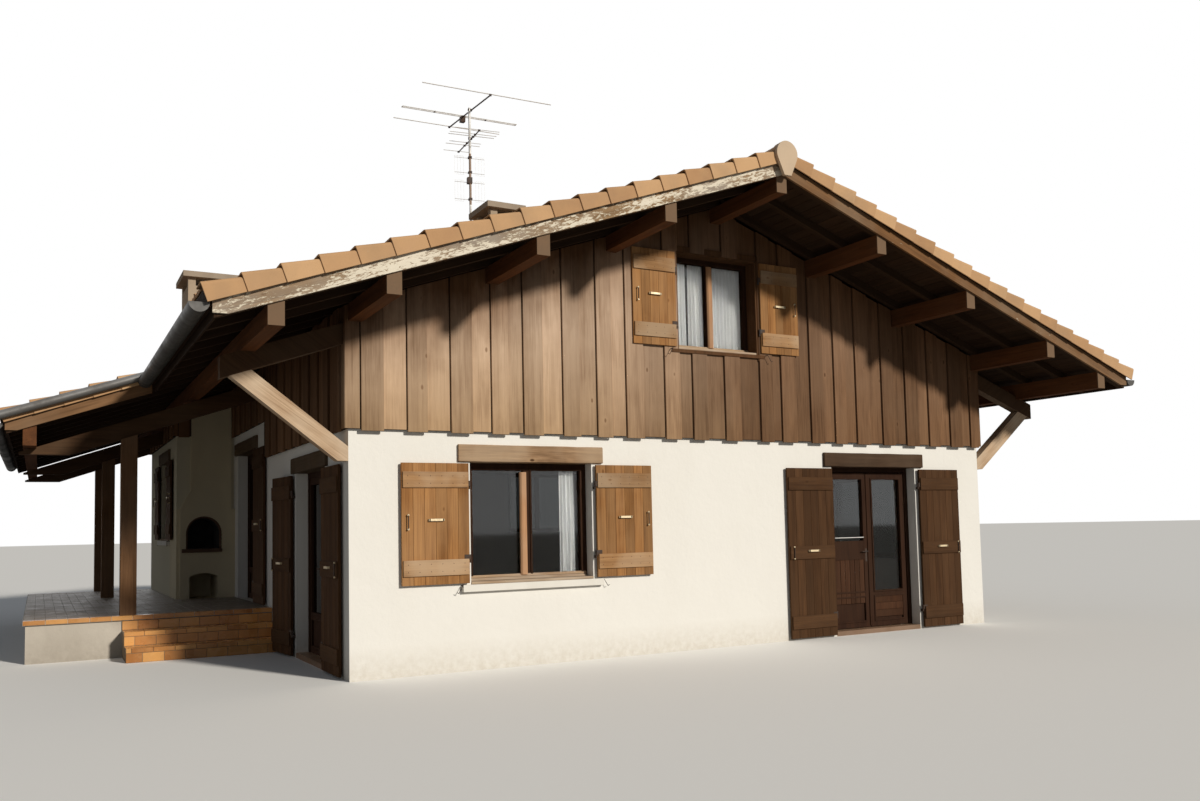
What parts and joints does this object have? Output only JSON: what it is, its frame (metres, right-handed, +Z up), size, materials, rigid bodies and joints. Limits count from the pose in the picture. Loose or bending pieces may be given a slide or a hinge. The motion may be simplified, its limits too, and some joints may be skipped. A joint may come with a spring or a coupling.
{
  "type": "alpine chalet",
  "caption": "Small alpine chalet with rendered ground floor, boarded timber gable, tiled roof, wooden shutters and a raised side porch with an oven.",
  "frame": {"origin": "middle of the house's plan, without porch and annex, on the ground under the ground floor slab", "axes": "+X to the right along the front wall, +Y from the front wall to the back wall, +Z up"},
  "size_m": [14.47, 13.6, 8.76],
  "materials": {
    "render": "matte",
    "masonry": "matte",
    "sill_stone": "matte",
    "boarding": "matte",
    "beams": "matte",
    "bargeboard": "matte",
    "shutter_wood": "satin",
    "frame_wood": "satin",
    "roof_tiles": "matte",
    "floor_tiles": "gloss",
    "zinc": "satin",
    "iron": "satin",
    "aerial_metal": "satin",
    "clear_glass": "gloss"
  },
  "bodies": {
    "house": {"floor_slab": "masonry", "upper_floor": "boarding", "front_wall": "render", "left_wall": "render", "right_wall": "render", "back_wall": "render", "wall_heads": "render", "annex_wall": "render", "lintels": "beams", "window_sills": "sill_stone", "front_gable": "boarding", "back_gable": "boarding", "left_upper_wall": "boarding", "right_upper_wall": "boarding", "annex_upper_wall": "boarding", "purlins": "beams", "left_rafters": "beams", "right_rafters": "beams", "left_roof": "roof_tiles", "right_roof": "roof_tiles", "porch_roof": "roof_tiles", "ridge_tiles": "roof_tiles", "ridge_ends": "roof_tiles", "bargeboards": "bargeboard", "porch_bargeboard": "bargeboard", "gutters": "zinc", "verge_pipe": "zinc", "fascias": "bargeboard", "corner_brackets": "beams", "porch_beams": "beams", "porch_posts": "beams", "porch_floor": "floor_tiles", "porch_steps": "floor_tiles", "oven_breast": "render", "chimney_stacks": "render", "chimney_caps": "masonry", "aerial_mast": "aerial_metal", "aerials": "aerial_metal", "window_frames": "frame_wood", "window_glass": "clear_glass", "door_frames": "frame_wood", "side_door_leaves": "frame_wood", "side_door_glass": "clear_glass", "shutter_hinges": "iron", "fixed_shutters": "shutter_wood"},
    "french_door_left": {"french_leaf_left": "frame_wood", "french_glass_left": "clear_glass"},
    "french_door_right": {"french_leaf_right": "frame_wood", "french_glass_right": "clear_glass"},
    "french_shutter_l": {"french_shutter_left": "shutter_wood"},
    "french_shutter_r": {"french_shutter_right": "shutter_wood"},
    "window_shutter_l": {"window_shutter_left": "shutter_wood"},
    "window_shutter_r": {"window_shutter_right": "shutter_wood"},
    "side_shutter_n": {"side_shutter_near": "shutter_wood"},
    "side_shutter_f": {"side_shutter_far": "shutter_wood"},
    "porch_shutter_n": {"porch_shutter": "shutter_wood"}
  },
  "joints": [
    {"name": "french_door_left_hinge", "type": "hinge", "parent": "house", "child": "french_door_left", "pos_m": [1.915, -5.271, 0.33], "axis": [0, 0, 1], "range_deg": [0, 95]},
    {"name": "french_door_right_hinge", "type": "hinge", "parent": "house", "child": "french_door_right", "pos_m": [3.335, -5.271, 0.33], "axis": [0, 0, -1], "range_deg": [0, 95]},
    {"name": "french_shutter_left_hinge", "type": "hinge", "parent": "house", "child": "french_shutter_l", "pos_m": [1.83, -5.54, 0.275], "axis": [0, 0, 1], "range_deg": [0, 180]},
    {"name": "french_shutter_right_hinge", "type": "hinge", "parent": "house", "child": "french_shutter_r", "pos_m": [3.42, -5.54, 0.275], "axis": [0, 0, -1], "range_deg": [0, 180]},
    {"name": "window_shutter_left_hinge", "type": "hinge", "parent": "house", "child": "window_shutter_l", "pos_m": [-3.38, -5.54, 1.199], "axis": [0, 0, 1], "range_deg": [0, 180]},
    {"name": "window_shutter_right_hinge", "type": "hinge", "parent": "house", "child": "window_shutter_r", "pos_m": [-1.82, -5.54, 1.199], "axis": [0, 0, -1], "range_deg": [0, 180]},
    {"name": "side_shutter_near_hinge", "type": "hinge", "parent": "house", "child": "side_shutter_n", "pos_m": [-4.74, -4.54, 0.275], "axis": [0, 0, -1], "range_deg": [0, 180]},
    {"name": "side_shutter_far_hinge", "type": "hinge", "parent": "house", "child": "side_shutter_f", "pos_m": [-4.74, -3.03, 0.275], "axis": [0, 0, 1], "range_deg": [-6, 174]},
    {"name": "porch_shutter_hinge", "type": "hinge", "parent": "house", "child": "porch_shutter_n", "pos_m": [-4.74, -0.46, 0.795], "axis": [0, 0, -1], "range_deg": [0, 180]}
  ]
}
